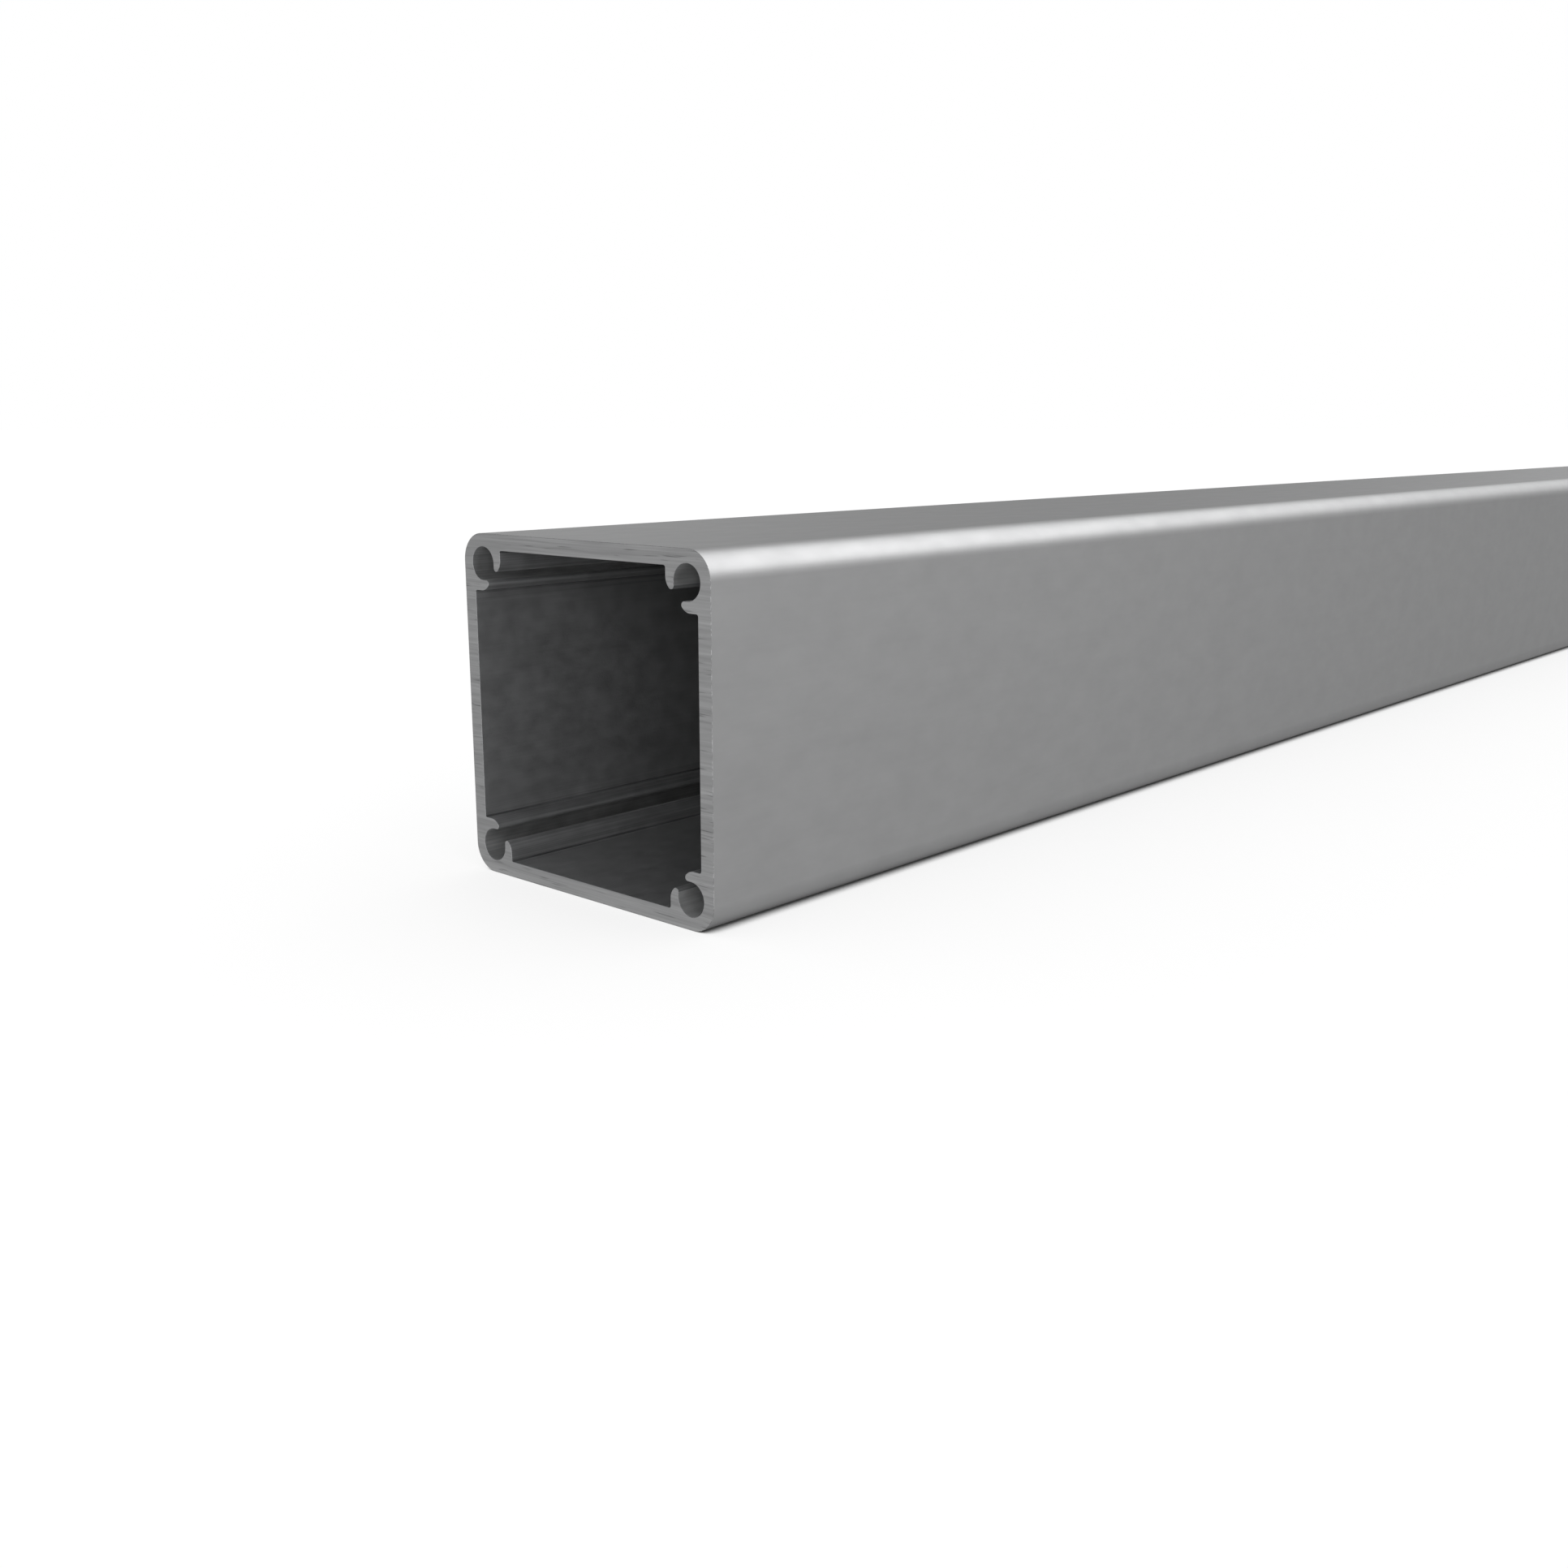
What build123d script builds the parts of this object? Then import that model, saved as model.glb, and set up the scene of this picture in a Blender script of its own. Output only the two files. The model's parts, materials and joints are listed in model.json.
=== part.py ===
from build123d import *
import os
from math import acos, degrees, radians, sin

# A bar of square aluminium tube, extruded in one piece and sawn square at both ends.
# A screw port runs the whole length of each inner corner: a round bore for a
# thread-cutting screw, open towards the middle of the tube between two lips.
#
# The bar lies along X on its bottom wall, with the origin under its middle.

# Driving sizes, in millimetres
bar_length = 1000.0
tube_width = 50.0
wall_thickness = 2.3
corner_radius = 4.0
port_inset = 4.25  # outer face to the centre of a port
port_bore = 4.8  # diameter
lip_thickness = 1.5
lip_reach = 1.05  # how far a lip runs on past the centre of its port
lip_back_radius = 2.0  # rounds the side of the lip that faces the open tube
lip_tip_radius = 0.5
lip_root_radius = 0.35  # inner corner between the wall and the back of a lip

# Places on the section, from the middle of the tube
wall_face = tube_width / 2 - wall_thickness
port_centre = tube_width / 2 - port_inset
bore_radius = port_bore / 2
lip_face = port_centre - bore_radius
lip_back = lip_face - lip_thickness
lip_end = port_centre - lip_reach

# The back of a lip turns by this much before its tip carries on to face the bore
radius_drop = lip_back_radius - lip_tip_radius
back_turn = degrees(acos((lip_back_radius + lip_tip_radius - lip_thickness) / radius_drop))
back_turn_start = lip_end + lip_tip_radius + radius_drop * sin(radians(back_turn))

# One sawn end of the bar, with sketch x across the tube and sketch y up it
sawn_end = Plane(origin=(-bar_length / 2, 0, tube_width / 2), x_dir=(0, 1, 0), z_dir=(1, 0, 0))
corner_diagonal = Plane(origin=(0, 0, 0), x_dir=(1, 1, 0), z_dir=(1, -1, 0))

with BuildPart() as tube:
    with BuildSketch(sawn_end) as section:
        RectangleRounded(tube_width, tube_width, corner_radius)
        with BuildLine() as hollow:
            # From the middle of a wall to its lip, down the lip's back and up its face
            wall = Line((0, wall_face), (lip_back - lip_root_radius, wall_face))
            root = JernArc(wall @ 1, wall % 1, lip_root_radius, -90)
            back = Line(root @ 1, (lip_back, back_turn_start))
            shoulder = JernArc(back @ 1, back % 1, lip_back_radius, back_turn)
            tip = JernArc(shoulder @ 1, shoulder % 1, lip_tip_radius, 180 - back_turn)
            Line(tip @ 1, (lip_face, port_centre))
            # The facing lip, the bore between the two, and the other three corners
            mirror(about=corner_diagonal)
            CenterArc((port_centre, port_centre), bore_radius, 180, -270)
            mirror(about=Plane.YZ)
            mirror(about=Plane.XZ)
        make_face(mode=Mode.SUBTRACT)
    extrude(amount=bar_length)

tube.part.label = "tube"
os.makedirs("parts", exist_ok=True)
export_step(tube.part, "parts/tube.step")

print(f"screw ports {2 * port_centre:.2f} mm apart, section {section.sketch.area:.1f} mm2")
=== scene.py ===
# A bar of square aluminium tube with a screw port in each inner corner, sawn square at
# both ends and lying on a white floor.
import json
from math import acos, cos, hypot, pi, radians, sin

import bpy
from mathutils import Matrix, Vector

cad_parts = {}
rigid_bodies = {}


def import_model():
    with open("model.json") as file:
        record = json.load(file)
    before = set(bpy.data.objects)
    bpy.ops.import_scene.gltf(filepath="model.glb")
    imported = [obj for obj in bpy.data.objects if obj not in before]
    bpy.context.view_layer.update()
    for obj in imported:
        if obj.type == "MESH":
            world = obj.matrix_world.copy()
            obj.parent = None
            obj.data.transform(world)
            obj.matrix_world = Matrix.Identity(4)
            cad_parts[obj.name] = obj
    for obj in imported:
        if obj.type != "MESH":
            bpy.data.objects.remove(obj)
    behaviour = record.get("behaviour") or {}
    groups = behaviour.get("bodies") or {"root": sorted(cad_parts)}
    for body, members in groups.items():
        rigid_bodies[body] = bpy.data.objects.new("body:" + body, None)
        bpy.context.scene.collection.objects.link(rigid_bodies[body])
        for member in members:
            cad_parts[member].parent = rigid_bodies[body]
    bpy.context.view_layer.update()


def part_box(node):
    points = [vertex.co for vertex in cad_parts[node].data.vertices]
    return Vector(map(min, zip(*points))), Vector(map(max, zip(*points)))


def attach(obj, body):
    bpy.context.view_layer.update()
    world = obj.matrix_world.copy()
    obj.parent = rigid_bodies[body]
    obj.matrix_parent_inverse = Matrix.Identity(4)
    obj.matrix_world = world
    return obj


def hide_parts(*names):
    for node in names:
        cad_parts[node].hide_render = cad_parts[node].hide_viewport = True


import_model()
bpy.ops.object.select_all(action="DESELECT")


# Camera. It stands off the near sawn end, a little above the bar, and looks along it.
# Its place, turn and lens were fitted to the bar's own edges.
camera_place = (-0.63765, -0.16207, 0.06500)
camera_tilt = radians(77.082)
camera_heading = radians(-47.794)
camera_lens = 35.946
sensor_width = 36
nearest_seen = 0.01
furthest_seen = 60

bpy.ops.object.camera_add(location=camera_place, rotation=(camera_tilt, 0, camera_heading))
camera = bpy.context.object
camera.name = "camera"
camera.data.sensor_width = sensor_width
camera.data.lens = camera_lens
camera.data.clip_start = nearest_seen
camera.data.clip_end = furthest_seen
bpy.context.scene.camera = camera
bpy.ops.object.select_all(action="DESELECT")


# The bar. An aluminium extrusion in one piece: a square tube with rounded outer corners
# and a screw port in each inner corner, a bore that opens between two lips. Both ends
# are cut with a circular saw and their edges are only just broken with a file.
low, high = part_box("tube")
bar_length = high.x - low.x
tube_width = high.z - low.z
tube_middle = (low.z + high.z) / 2
wall_thickness = 0.0023
corner_radius = 0.0040
port_inset = 0.00425
port_bore = 0.0048
lip_thickness = 0.0015
lip_reach = 0.00105
lip_back_radius = 0.0020
lip_tip_radius = 0.0005
lip_root_radius = 0.00035
edge_break = 0.00004

wall_face = tube_width / 2 - wall_thickness
port_centre = tube_width / 2 - port_inset
bore_radius = port_bore / 2
lip_face = port_centre - bore_radius
lip_back = lip_face - lip_thickness
lip_end = port_centre - lip_reach
radius_drop = lip_back_radius - lip_tip_radius
back_turn = acos((lip_back_radius + lip_tip_radius - lip_thickness) / radius_drop)
back_turn_start = lip_end + lip_tip_radius + radius_drop * sin(back_turn)
tip_centre = lip_back + lip_back_radius - radius_drop * cos(back_turn)

# How many steps each round of the section is drawn in
corner_steps = 16
root_steps = 5
back_steps = 8
tip_steps = 9
bore_steps = 54

# The outer outline at the near end, as a square with its corners rounded
near_cut = low.x + edge_break
bpy.ops.mesh.primitive_plane_add(
    size=tube_width, location=(near_cut, 0, tube_middle), rotation=(0, radians(-90), 0))
bar = bpy.context.object
bar.name = "square_tube"
bar.data.name = "square_tube"
bpy.ops.object.transform_apply(location=True, rotation=True, scale=True)
bpy.ops.object.mode_set(mode="EDIT")
bpy.ops.mesh.bevel(
    offset=corner_radius, segments=corner_steps, profile=0.5, affect="VERTICES")
bpy.ops.mesh.delete(type="ONLY_FACE")

# The inner outline is drawn from the middle of the top wall, round one port, to the
# middle of the side wall, and then turned into the other three corners
dot_size = 0.001
weld_distance = 0.00001


def start_line(across, up):
    bpy.ops.mesh.select_all(action="DESELECT")
    bpy.ops.mesh.primitive_plane_add(
        size=dot_size, location=(near_cut, across, tube_middle + up))
    bpy.ops.mesh.merge(type="CENTER")


def draw_line(across, up):
    bpy.ops.mesh.extrude_vertices_move(TRANSFORM_OT_translate={"value": (0, across, up)})


def draw_arc(across, up, turn, steps):
    bpy.ops.mesh.spin(steps=steps, angle=-turn, center=(near_cut, across, tube_middle + up),
                      axis=(1, 0, 0))


start_line(0, wall_face)
draw_line(lip_back - lip_root_radius, 0)
draw_arc(lip_back - lip_root_radius, wall_face - lip_root_radius, radians(-90), root_steps)
draw_line(0, back_turn_start - (wall_face - lip_root_radius))
draw_arc(lip_back + lip_back_radius, back_turn_start, back_turn, back_steps)
draw_arc(tip_centre, lip_end + lip_tip_radius, pi - back_turn, tip_steps)
draw_line(0, port_centre - (lip_end + lip_tip_radius))
draw_arc(port_centre, port_centre, radians(-270), bore_steps)
draw_line(lip_end + lip_tip_radius - port_centre, 0)
draw_arc(lip_end + lip_tip_radius, tip_centre, pi - back_turn, tip_steps)
draw_arc(back_turn_start, lip_back + lip_back_radius, back_turn, back_steps)
draw_line(wall_face - lip_root_radius - back_turn_start, 0)
draw_arc(wall_face - lip_root_radius, lip_back - lip_root_radius, radians(-90), root_steps)
draw_line(0, -(lip_back - lip_root_radius))
bpy.ops.mesh.select_linked()
bpy.ops.mesh.spin(steps=3, dupli=True, angle=radians(270), center=(near_cut, 0, tube_middle),
                  axis=(1, 0, 0))
bpy.ops.mesh.select_all(action="SELECT")
bpy.ops.mesh.remove_doubles(threshold=weld_distance)

# The metal between the two outlines, drawn out to the length of the bar
bpy.ops.mesh.fill(use_beauty=True)
bpy.ops.mesh.extrude_region_move(
    TRANSFORM_OT_translate={"value": (bar_length - 2 * edge_break, 0, 0)})
bpy.ops.mesh.select_all(action="SELECT")
bpy.ops.mesh.normals_make_consistent(inside=False)
bpy.ops.object.mode_set(mode="OBJECT")

# Both cuts get their filed edges, and the long faces are divided along the bar. A cut
# looks along the bar, a filed edge looks aslant, and a long face straight out from it.
looks_along = 0.9
looks_aslant = 0.3
cuts_along = 9
smooth_below = radians(30)
wall_weight = 100


def select_in(piece, kind, wanted):
    bpy.ops.object.mode_set(mode="EDIT")
    bpy.ops.mesh.select_mode(type=kind)
    bpy.ops.mesh.select_all(action="DESELECT")
    bpy.ops.object.mode_set(mode="OBJECT")
    for part in piece.data.polygons if kind == "FACE" else piece.data.edges:
        part.select = wanted(part)
    bpy.ops.object.mode_set(mode="EDIT")


def on_a_cut(face):
    return abs(face.normal.x) > looks_along


def on_a_filed_edge(face):
    return looks_aslant < abs(face.normal.x) <= looks_along


def runs_along(edge):
    ends = [bar.data.vertices[v].co.x for v in edge.vertices]
    return abs(ends[1] - ends[0]) > bar_length / 2


select_in(bar, "FACE", on_a_cut)
bpy.ops.mesh.inset(thickness=edge_break, depth=edge_break)
select_in(bar, "EDGE", runs_along)
bpy.ops.mesh.subdivide(number_cuts=cuts_along)
bpy.ops.object.mode_set(mode="OBJECT")
bpy.ops.object.shade_smooth_by_angle(angle=smooth_below)
flat_walls = bar.modifiers.new("flat_walls", "WEIGHTED_NORMAL")
flat_walls.keep_sharp = True
flat_walls.weight = wall_weight
bpy.ops.object.modifier_apply(modifier=flat_walls.name)


# Finishes of the bar. Each is a noise drawn out along the way the metal was worked: along
# the bar where it ran through the die, across it where the saw went. A grain's size is
# given along, across and up the bar, and its tone takes a finish from dark to light.
def grey(level):
    return (level, level, level, 1)


def new_finish(name):
    finish = bpy.data.materials.new(name)
    finish.use_nodes = True
    finish.node_tree.nodes["Principled BSDF"].inputs["Metallic"].default_value = 1
    finish.node_tree.nodes.new("ShaderNodeTexCoord")
    return finish


def add_grain(finish, grain_size, detail, where=None):
    nodes, links = finish.node_tree.nodes, finish.node_tree.links
    spread = nodes.new("ShaderNodeMapping")
    spread.inputs["Scale"].default_value = [1 / length for length in grain_size]
    links.new(where or nodes["Texture Coordinate"].outputs["Object"], spread.inputs["Vector"])
    grain = nodes.new("ShaderNodeTexNoise")
    grain.inputs["Scale"].default_value = 1
    grain.inputs["Detail"].default_value = detail
    links.new(spread.outputs["Vector"], grain.inputs["Vector"])
    return grain.outputs["Fac"]


def read_place(finish):
    nodes, links = finish.node_tree.nodes, finish.node_tree.links
    axes = nodes.new("ShaderNodeSeparateXYZ")
    links.new(nodes["Texture Coordinate"].outputs["Object"], axes.inputs["Vector"])
    return axes.outputs


def read_painted_light_and_edge_spots(finish):
    painted_light_and_edge_spots = finish.node_tree.nodes.new("ShaderNodeAttribute")
    painted_light_and_edge_spots.attribute_name = "painted_light_and_edge_spots"
    return painted_light_and_edge_spots.outputs["Fac"]


def work_out(finish, operation, *values):
    nodes, links = finish.node_tree.nodes, finish.node_tree.links
    step = nodes.new("ShaderNodeMath")
    step.operation = operation
    for socket, value in zip(step.inputs, values):
        if isinstance(value, (int, float)):
            socket.default_value = value
        else:
            links.new(value, socket)
    return step.outputs[0]


def fit_range(finish, value, span, result):
    nodes, links = finish.node_tree.nodes, finish.node_tree.links
    step = nodes.new("ShaderNodeMapRange")
    links.new(value, step.inputs["Value"])
    step.inputs["From Min"].default_value, step.inputs["From Max"].default_value = span
    step.inputs["To Min"].default_value, step.inputs["To Max"].default_value = result
    return step.outputs["Result"]


def set_colour(finish, tone, dark, light, edge_tint):
    nodes, links = finish.node_tree.nodes, finish.node_tree.links
    colour = nodes.new("ShaderNodeMix")
    colour.data_type = "RGBA"
    links.new(tone, colour.inputs["Factor"])
    colour.inputs["A"].default_value = (*dark, 1)
    colour.inputs["B"].default_value = (*light, 1)
    metal = nodes["Principled BSDF"]
    links.new(colour.outputs["Result"], metal.inputs["Base Color"])
    metal.inputs["Specular Tint"].default_value = grey(edge_tint)


def set_relief(finish, roughness, height, depth):
    nodes, links = finish.node_tree.nodes, finish.node_tree.links
    metal = nodes["Principled BSDF"]
    links.new(roughness, metal.inputs["Roughness"])
    relief = nodes.new("ShaderNodeBump")
    relief.inputs["Distance"].default_value = depth
    links.new(height, relief.inputs["Height"])
    links.new(relief.outputs["Normal"], metal.inputs["Normal"])


# Outside, as it left the die and was etched: satin, faintly clouded, with fine die lines
grain_span = (0.3, 0.7)  # what a noise mostly keeps between
outer_cloud_size = (0.0062, 0.0034, 0.0034)
outer_line_size = (0.045, 0.00035, 0.00035)
outer_cloud_share, outer_line_share = 0.85, 0.15
outer_dark, outer_light = (0.235, 0.236, 0.238), (0.283, 0.284, 0.286)
outer_tint = 0.52
outer_roughness = (0.475, 0.445)
outer_cloud_height = 0.8
outer_relief_depth = 0.000004

outer_skin = new_finish("outer_skin")
cloud = add_grain(outer_skin, outer_cloud_size, 4)
die_lines = add_grain(outer_skin, outer_line_size, 2)
tone = work_out(outer_skin, "ADD", work_out(outer_skin, "MULTIPLY", cloud, outer_cloud_share),
                work_out(outer_skin, "MULTIPLY", die_lines, outer_line_share))
set_colour(outer_skin, tone, outer_dark, outer_light, outer_tint)
height = work_out(outer_skin, "MULTIPLY_ADD", cloud, outer_cloud_height, die_lines)
set_relief(outer_skin, fit_range(outer_skin, cloud, grain_span, outer_roughness), height,
           outer_relief_depth)

# The cut, with the marks of the saw across it, which wander up and down a little, and a
# few of which are torn deep. It is painted brighter along its foot, a painted light, and
# painted a little darker along its top, a painted shade. It is darker in broken spots
# along its filed outer edge.
wander_size, wander = (1, 0.009, 0.006), 0.0004
saw_line_size, saw_line_share = (1, 0.016, 0.00026), 0.6
saw_band_size, saw_band_share = (1, 0.030, 0.0012), 0.4
torn_line_size = (1, 0.0060, 0.00030)
torn_span, torn_loss = (0.66, 0.74), (0, 0.35)
# Painted light along the foot of the cut and painted shade along its top
foot_span, painted_foot_light = (0, 0.0025), (0.13, 0)
top_span, painted_top_shade = (0.0465, 0.0485), (0, -0.03)
edge_spot_size = (0.0004, 0.0004, 0.0004)
edge_spot_span, edge_spot_strength = (0.40, 0.60), (0.2, 1)
sawn_dark, sawn_light = (0.113, 0.114, 0.115), (0.404, 0.406, 0.409)
sawn_tint = 0.5
sawn_roughness = (0.46, 0.56)
sawn_relief_depth = 0.000012

sawn_end = new_finish("sawn_end")
nodes, links = sawn_end.node_tree.nodes, sawn_end.node_tree.links
drift = add_grain(sawn_end, wander_size, 1)
shift = nodes.new("ShaderNodeCombineXYZ")
links.new(work_out(sawn_end, "MULTIPLY", drift, wander), shift.inputs["Z"])
drifted = nodes.new("ShaderNodeVectorMath")
links.new(nodes["Texture Coordinate"].outputs["Object"], drifted.inputs[0])
links.new(shift.outputs["Vector"], drifted.inputs[1])
saw_lines = add_grain(sawn_end, saw_line_size, 2, drifted.outputs["Vector"])
saw_bands = add_grain(sawn_end, saw_band_size, 2, drifted.outputs["Vector"])
torn_lines = add_grain(sawn_end, torn_line_size, 1, drifted.outputs["Vector"])
tone = work_out(sawn_end, "ADD", work_out(sawn_end, "MULTIPLY", saw_lines, saw_line_share),
                work_out(sawn_end, "MULTIPLY", saw_bands, saw_band_share))
tone = work_out(sawn_end, "SUBTRACT", tone,
                fit_range(sawn_end, torn_lines, torn_span, torn_loss))
up = read_place(sawn_end)["Z"]
# Painted light: the cut is made brighter towards its foot; painted shade: a little darker
# towards its top
tone = work_out(sawn_end, "ADD", tone, fit_range(sawn_end, up, foot_span, painted_foot_light))
tone = work_out(sawn_end, "ADD", tone, fit_range(sawn_end, up, top_span, painted_top_shade))
# The filed outer edge of the cut is made darker in broken spots
edge_spots = fit_range(sawn_end, add_grain(sawn_end, edge_spot_size, 1), edge_spot_span, edge_spot_strength)
tone = work_out(sawn_end, "ADD", tone,
                work_out(sawn_end, "MULTIPLY", read_painted_light_and_edge_spots(sawn_end), edge_spots))
set_colour(sawn_end, tone, sawn_dark, sawn_light, sawn_tint)
set_relief(sawn_end, fit_range(sawn_end, saw_lines, grain_span, sawn_roughness), saw_lines,
           sawn_relief_depth)

# Inside, untouched since the die: dull and clouded, streaked along by the lips, with a
# painted shade in the roots of the lips and a painted glint here and there along their
# edges. It is painted darker towards the front wall, a painted shade, and a little lighter
# towards the back wall, a painted light. The bores of the ports are painted darker
# towards the top and the back, a painted shade, and lighter towards the front, a painted
# light, and the upper ones have painted light deeper in.
grain_middle = 0.5
middle_tone = 0.5
inner_cloud_size, inner_cloud_strength = (0.0030, 0.0022, 0.0022), 0.20
inner_line_size = (0.045, 0.00030, 0.00030)
inner_streaks, port_streaks, far_streaks = 0.70, 0.35, 0.08
streak_span = (0.0046, 0.0062)
# Patches that break up the painted glint on the lip tips and the painted shade in the lip roots
glint_and_shade_patch_size = (0.012, 0.0003, 0.0003)
glint_and_shade_patch_span, glint_and_shade_patch_strength = (0.35, 0.65), (0.15, 0.45)
# Painted shade towards the front wall inside and painted light towards the back wall
wall_span, painted_wall_shade_and_light = (-0.004, 0.016), (-0.10, 0.06)
# Painted light and shade in the port bores: by side, by height, and deeper in
side_span, painted_port_light_and_shade_by_side = (-0.020, 0.020), (0.11, -0.02)
height_span, painted_port_shade_by_height = (0.010, 0.040), (-0.02, -0.10)
deep_span = (bar_length / 2 - 0.030, bar_length / 2 - 0.002)
painted_deep_port_light_and_shade = (-0.06, 0.35)
inner_dark, inner_light = (0.050, 0.051, 0.0525), (0.350, 0.354, 0.359)
port_dark, port_light = (0.045, 0.0455, 0.046), (0.62, 0.625, 0.63)
inner_tint = 1
inner_roughness, port_roughness = (0.62, 0.68), (0.58, 0.66)
inner_cloud_height = 0.4
inner_relief_depth = 0.000008

inner_skin = new_finish("inner_skin")
port_skin = new_finish("port_skin")
for finish, near_streaks, dark, light, roughness in (
        (inner_skin, inner_streaks, inner_dark, inner_light, inner_roughness),
        (port_skin, port_streaks, port_dark, port_light, port_roughness)):
    cloud = add_grain(finish, inner_cloud_size, 3)
    die_lines = add_grain(finish, inner_line_size, 2)
    place = read_place(finish)
    across = work_out(finish, "ABSOLUTE", place["Y"])
    across = work_out(finish, "SUBTRACT", across, port_centre)
    up = work_out(finish, "ABSOLUTE", work_out(finish, "SUBTRACT", place["Z"], tube_middle))
    up = work_out(finish, "SUBTRACT", up, port_centre)
    from_port = work_out(finish, "SQRT", work_out(
        finish, "MULTIPLY_ADD", across, across, work_out(finish, "MULTIPLY", up, up)))
    streaks = work_out(finish, "MULTIPLY", work_out(finish, "SUBTRACT", die_lines, grain_middle),
                       fit_range(finish, from_port, streak_span, (near_streaks, far_streaks)))
    clouds = work_out(finish, "MULTIPLY", work_out(finish, "SUBTRACT", cloud, grain_middle),
                      inner_cloud_strength)
    tone = work_out(finish, "ADD", work_out(finish, "ADD", streaks, clouds), middle_tone)
    # Painted glint along the lip tips and painted shade in the lip roots, broken into patches
    glint_and_shade_patches = fit_range(finish, add_grain(finish, glint_and_shade_patch_size, 2), glint_and_shade_patch_span, glint_and_shade_patch_strength)
    tone = work_out(finish, "ADD", tone,
                    work_out(finish, "MULTIPLY", read_painted_light_and_edge_spots(finish), glint_and_shade_patches))
    if finish == inner_skin:
        # Painted shade towards the front wall, painted light towards the back wall
        tone = work_out(finish, "ADD", tone,
                        fit_range(finish, place["Y"], wall_span, painted_wall_shade_and_light))
    else:
        # Painted shade towards the top of the ports, painted light towards their front and deep
        # in the upper ports
        tone = work_out(finish, "ADD", tone,
                        fit_range(finish, place["Z"], height_span, painted_port_shade_by_height))
        tone = work_out(finish, "ADD", tone,
                        fit_range(finish, place["Y"], side_span, painted_port_light_and_shade_by_side))
        from_middle = work_out(finish, "ABSOLUTE", place["X"])
        deep = fit_range(finish, from_middle, deep_span, (1, 0))
        painted_deep_light_and_shade_here = fit_range(finish, place["Z"], height_span, painted_deep_port_light_and_shade)
        tone = work_out(finish, "MULTIPLY_ADD", deep, painted_deep_light_and_shade_here, tone)
    set_colour(finish, tone, dark, light, inner_tint)
    height = work_out(finish, "MULTIPLY_ADD", cloud, inner_cloud_height, die_lines)
    set_relief(finish, fit_range(finish, cloud, grain_span, roughness), height,
               inner_relief_depth)

# Each face gets its finish and its painted light and edge spots: above 0 it is painted bright, a
# painted glint on the lip tips; below 0 it is dark, a painted shade in the lip roots and darker
# spots along the filed outer edges of the cuts
outer_margin = 0.0002
bore_margin = 0.00008
root_reach = 0.7 * lip_root_radius
# Painted glint on the lip tips, painted shade in the lip roots, darker spots on the filed outer
# edges
painted_tip_glint, painted_root_shade, edge_darkening = 0.4, -1, -0.6
corner_centre = tube_width / 2 - corner_radius

finishes = [outer_skin, sawn_end, inner_skin, port_skin]
for finish in finishes:
    bar.data.materials.append(finish)
painted_light_and_edge_spots = bar.data.attributes.new("painted_light_and_edge_spots", "FLOAT", "CORNER")
for face in bar.data.polygons:
    across, up = abs(face.center.y), abs(face.center.z - tube_middle)
    far, near = max(across, up), min(across, up)
    from_inside = hypot(max(across - corner_centre, 0), max(up - corner_centre, 0))
    outside = from_inside > corner_radius - outer_margin
    in_a_bore = hypot(across - port_centre, up - port_centre) < bore_radius + bore_margin
    at_tip = hypot(near - tip_centre, far - lip_end - lip_tip_radius) < lip_tip_radius
    at_root = hypot(near - lip_back, far - wall_face) < root_reach
    if on_a_cut(face) or on_a_filed_edge(face) and outside:
        finish = sawn_end
        painted_light_and_edge_spots_here = edge_darkening if on_a_filed_edge(face) else 0
    else:
        finish = (outer_skin if outside else
                  port_skin if in_a_bore and not on_a_filed_edge(face) else inner_skin)
        painted_light_and_edge_spots_here = painted_tip_glint if at_tip else painted_root_shade if at_root else 0
    face.material_index = finishes.index(finish)
    for corner in face.loop_indices:
        painted_light_and_edge_spots.data[corner].value = painted_light_and_edge_spots_here
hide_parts("tube")
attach(bar, "root")
bpy.ops.object.select_all(action="DESELECT")


# Floor. A white sweep. The camera and the metal see it bright but keep the bar's soft
# shadow on it. Its glow is painted dark where it is shut in under the bar's rounded lower
# edge, a painted contact shadow.
floor_size = 40
plain_level = 0.74
shaded_level = 0.30
glow_level = 0.72
shut_in_reach = 0.0065
shut_in_samples = 16
shut_in_span = (0.12, 0.42)

bpy.ops.mesh.primitive_plane_add(size=floor_size, location=(0, 0, 0))
floor = bpy.context.object
floor.name = "floor"
floor_paint = bpy.data.materials.new("floor_paint")
floor_paint.use_nodes = True
nodes, links = floor_paint.node_tree.nodes, floor_paint.node_tree.links
nodes.clear()
plain_white = nodes.new("ShaderNodeBsdfDiffuse")
plain_white.inputs["Color"].default_value = grey(plain_level)
shaded_white = nodes.new("ShaderNodeBsdfDiffuse")
shaded_white.inputs["Color"].default_value = grey(shaded_level)
ray = nodes.new("ShaderNodeLightPath")
openness = nodes.new("ShaderNodeAmbientOcclusion")
openness.samples = shut_in_samples
openness.inputs["Distance"].default_value = shut_in_reach
glow = nodes.new("ShaderNodeEmission")
glow.inputs["Color"].default_value = grey(glow_level)
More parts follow.
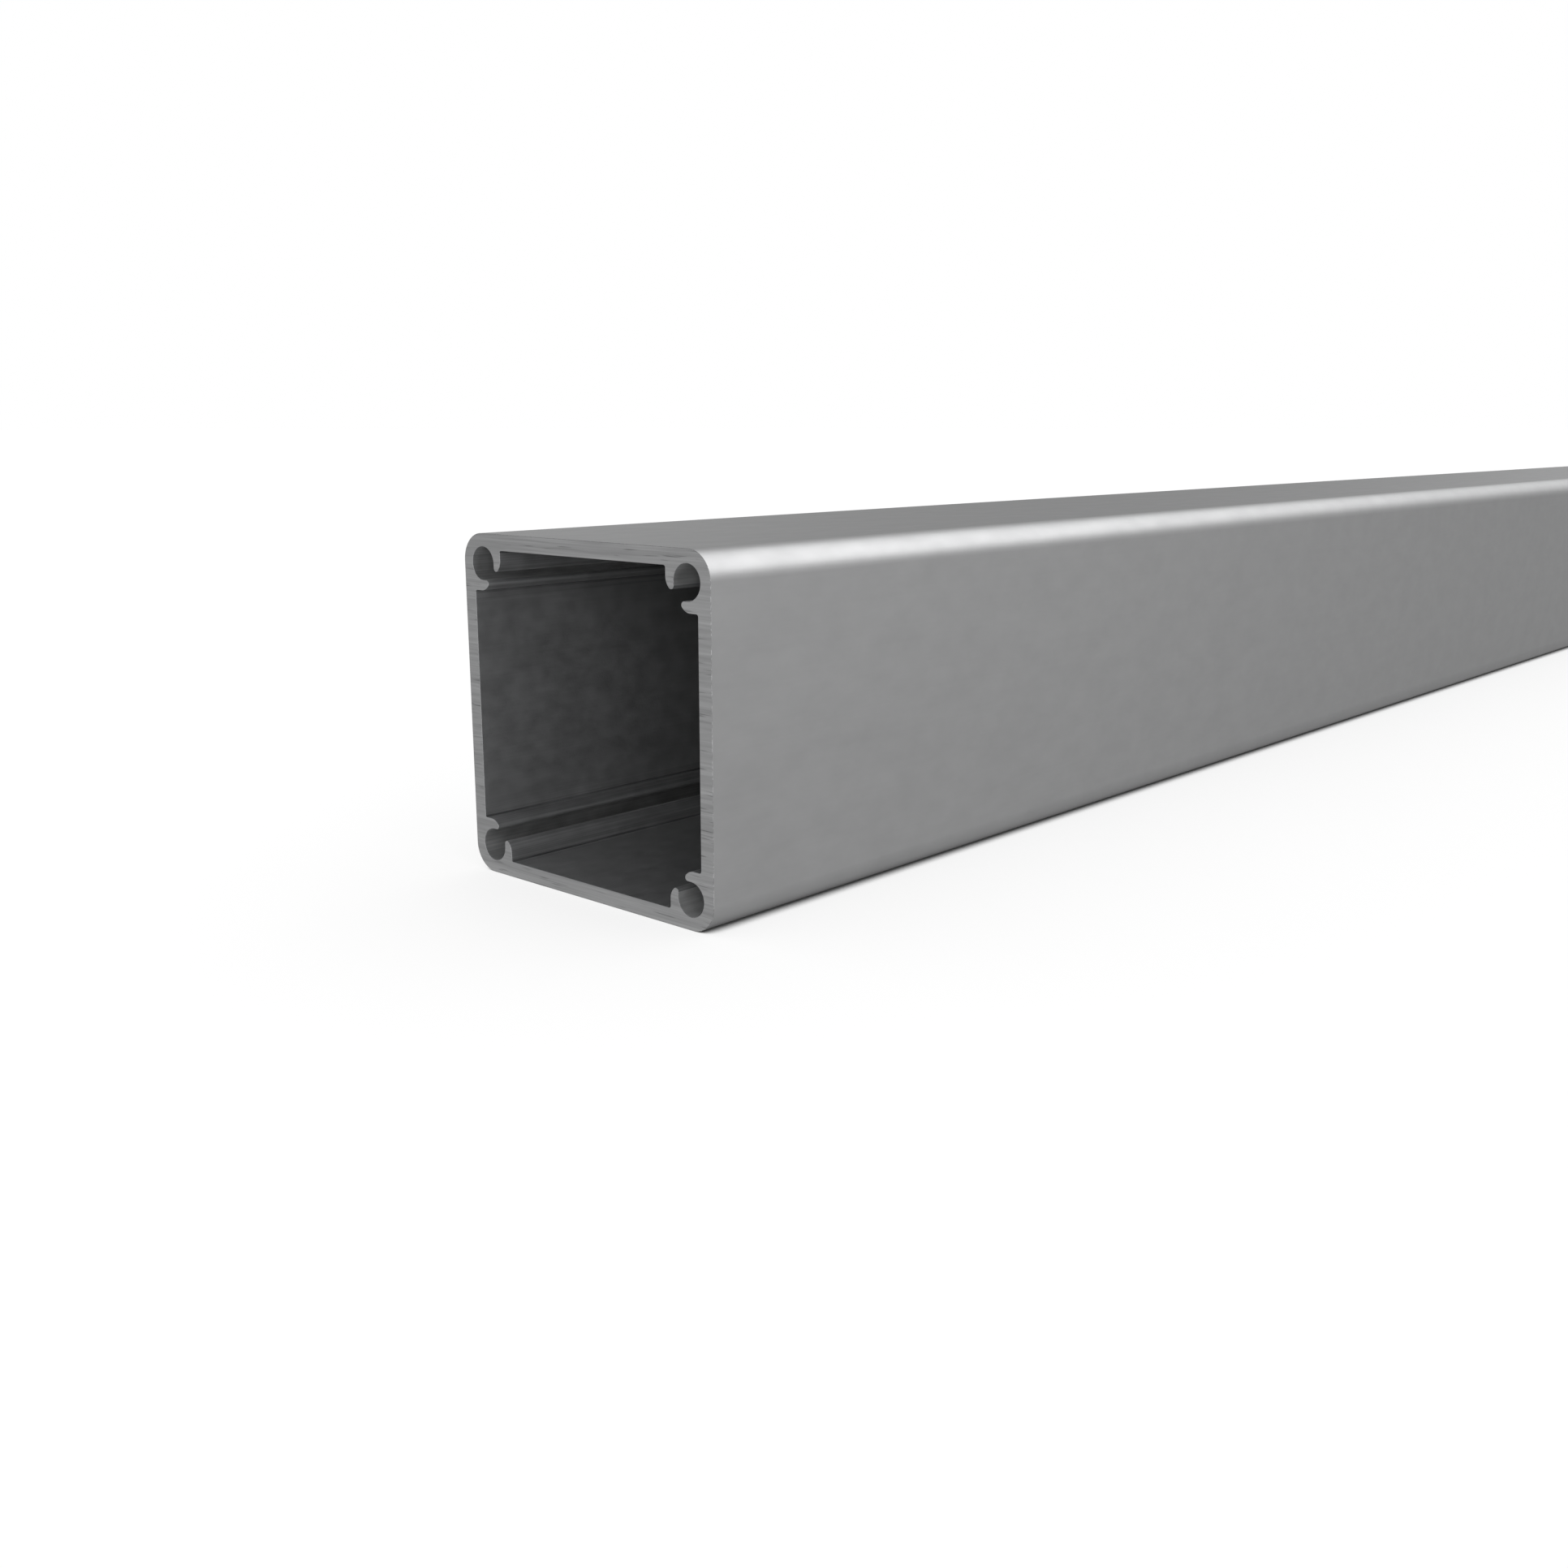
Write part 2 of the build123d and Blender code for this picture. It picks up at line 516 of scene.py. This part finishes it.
# Painted shadow: the glow is dimmed where the floor is shut in under the bar
links.new(fit_range(floor_paint, openness.outputs["AO"], shut_in_span, (0, 1)),
          glow.inputs["Strength"])
seen_white = nodes.new("ShaderNodeAddShader")
links.new(shaded_white.outputs[0], seen_white.inputs[0])
links.new(glow.outputs[0], seen_white.inputs[1])
seen_or_mirrored = work_out(floor_paint, "MAXIMUM", ray.outputs["Is Camera Ray"],
                            ray.outputs["Is Glossy Ray"])
seen_at_all = work_out(floor_paint, "MAXIMUM", seen_or_mirrored,
                       ray.outputs["Is Transmission Ray"])
either = nodes.new("ShaderNodeMixShader")
links.new(seen_at_all, either.inputs["Fac"])
links.new(plain_white.outputs[0], either.inputs[1])
links.new(seen_white.outputs[0], either.inputs[2])
out = nodes.new("ShaderNodeOutputMaterial")
links.new(either.outputs[0], out.inputs["Surface"])
floor.data.materials.append(floor_paint)
bpy.ops.object.select_all(action="DESELECT")


# Sky. A plain white surround, all round and over the bar, at the level at which a colour
# renders as it is written.
sky = bpy.data.worlds.new("sky")
bpy.context.scene.world = sky
sky.use_nodes = True
surround = sky.node_tree.nodes["Background"]
surround.inputs["Color"].default_value = grey(1)
surround.inputs["Strength"].default_value = 1


# Softbox. A wide soft lamp that hangs high beyond the far end of the bar and in front of
# it. The metal alone shows it, as the bright line along the bar's upper front edge.
softbox_place = (4.62, -2.63, 3.00)
softbox_turn = (0.06, 0, -0.016)
softbox_length = 6.70
softbox_width = 7.70
softbox_glow = 3.60


def hang_lamp(name, place, turn, length, width, glow):
    bpy.ops.object.light_add(type="AREA", location=place, rotation=turn)
    lamp = bpy.context.object
    lamp.name = name
    lamp.data.shape = "RECTANGLE"
    lamp.data.size = length
    lamp.data.size_y = width
    lamp.data.energy = glow * pi * length * width
    lamp.visible_camera = False
    lamp.visible_diffuse = False
    bpy.ops.object.select_all(action="DESELECT")


hang_lamp("softbox", softbox_place, softbox_turn, softbox_length, softbox_width, softbox_glow)


# Flag. A black cloth panel beyond the bar that shows only in the metal, where it keeps
# the white surround off the bar's far top.
flag_place = (3.07, 1.14, 0.41)
flag_turn = (-0.401, 0, -0.154)
flag_length = 3.99
flag_width = 2.06
cloth_level = 0.02
cloth_roughness = 0.9

bpy.ops.mesh.primitive_plane_add(size=1, location=flag_place, rotation=flag_turn)
flag = bpy.context.object
flag.name = "flag"
flag.scale = (flag_length, flag_width, 1)
flag_cloth = bpy.data.materials.new("flag_cloth")
flag_cloth.use_nodes = True
cloth = flag_cloth.node_tree.nodes["Principled BSDF"]
cloth.inputs["Base Color"].default_value = grey(cloth_level)
cloth.inputs["Roughness"].default_value = cloth_roughness
flag.data.materials.append(flag_cloth)
flag.visible_camera = False
flag.visible_diffuse = False
flag.visible_shadow = False
bpy.ops.object.select_all(action="DESELECT")


# Front card. A small lamp that stands low off the near end and throws light down the
# inside of the bar.
card_place = (-1.24, -0.62, 0.10)
card_turn = (radians(85.5), 0, radians(-50))
card_length = 0.9
card_width = 0.6
card_glow = 6.7

hang_lamp("front_card", card_place, card_turn, card_length, card_width, card_glow)

bpy.context.scene.view_settings.view_transform = "Standard"
